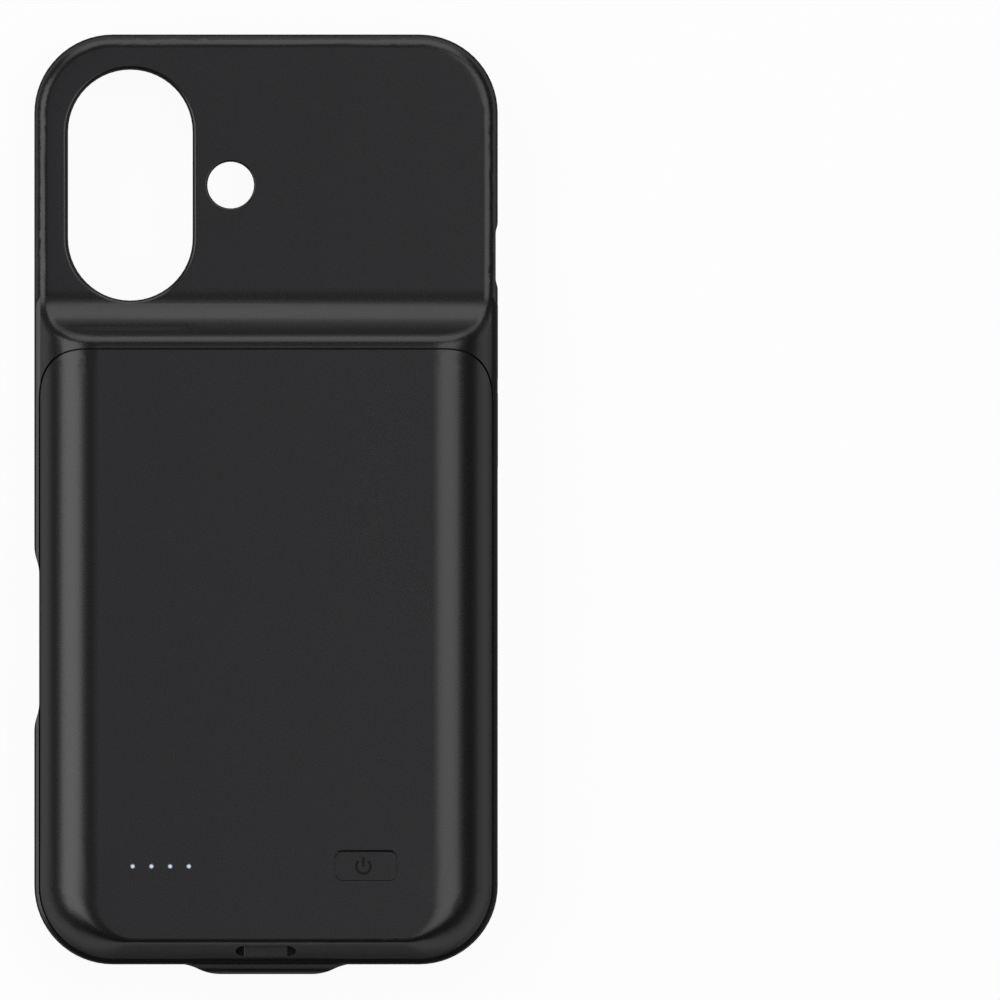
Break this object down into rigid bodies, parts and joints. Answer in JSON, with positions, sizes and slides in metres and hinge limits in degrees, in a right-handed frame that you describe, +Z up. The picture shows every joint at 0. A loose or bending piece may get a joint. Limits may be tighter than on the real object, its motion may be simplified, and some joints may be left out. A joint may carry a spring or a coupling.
{
  "type": "battery charging case",
  "caption": "Battery charging case for a slab phone: soft frame with camera opening, scooped battery bulge, charging port, sprung keys and an inner plug that feeds the phone",
  "frame": {"origin": "on the ground under the middle of the case, which lies on the rim of its front lip", "axes": "+X to the right seen from the back, +Y to the top end of the phone, +Z up, out of the back of the case"},
  "size_m": [0.0756, 0.153, 0.0168],
  "materials": {
    "soft_frame": "satin",
    "hard_shell": "satin",
    "key_plastic": "satin",
    "tray_plastic": "matte",
    "light_guide": "clear",
    "led_white": "gloss",
    "connector_steel": "satin",
    "connector_black": "matte",
    "contact_gold": "satin",
    "pouch_foil": "satin",
    "nickel": "satin",
    "adhesive": "matte",
    "foam": "matte",
    "board_green": "satin",
    "flex_amber": "satin",
    "chip_black": "matte",
    "ceramic_tan": "matte",
    "lead_red": "satin",
    "lead_black": "satin",
    "screw_steel": "satin"
  },
  "bodies": {
    "case": {"case_frame": "soft_frame", "battery_cover": "hard_shell", "inner_tray": "tray_plastic", "tact_switch": "connector_steel", "light_guide": "light_guide", "status_leds": "led_white", "battery_cell": "pouch_foil", "battery_tape": "adhesive", "foam_pad": "foam", "cell_tabs": "nickel", "protection_board": "board_green", "battery_lead_positive": "lead_red", "battery_lead_negative": "lead_black", "main_board": "board_green", "board_screws": "screw_steel", "usb_port_shell": "connector_steel", "usb_port_core": "connector_black", "usb_port_contacts": "contact_gold", "plug_holder": "tray_plastic", "plug_shell": "connector_steel", "plug_core": "connector_black", "plug_contacts": "contact_gold", "plug_flex": "flex_amber", "boost_inductor": "chip_black", "charge_controller": "chip_black", "boost_controller": "chip_black", "capacitors": "ceramic_tan"},
    "power_key": {"power_key": "key_plastic", "switch_plunger": "chip_black"},
    "side_key": {"side_key": "key_plastic"},
    "volume_up_key": {"volume_up_key": "key_plastic"},
    "volume_down_key": {"volume_down_key": "key_plastic"}
  },
  "joints": [
    {"name": "power_key_press", "type": "slide", "parent": "case", "child": "power_key", "axis": [0, 0, -1], "range_m": [0, 0.0003], "stiffness_N_per_m": 900},
    {"name": "side_key_press", "type": "slide", "parent": "case", "child": "side_key", "axis": [1, 0, 0], "range_m": [0, 0.0004], "stiffness_N_per_m": 900},
    {"name": "volume_up_press", "type": "slide", "parent": "case", "child": "volume_up_key", "axis": [-1, 0, 0], "range_m": [0, 0.0004], "stiffness_N_per_m": 900},
    {"name": "volume_down_press", "type": "slide", "parent": "case", "child": "volume_down_key", "axis": [-1, 0, 0], "range_m": [0, 0.0004], "stiffness_N_per_m": 900}
  ]
}
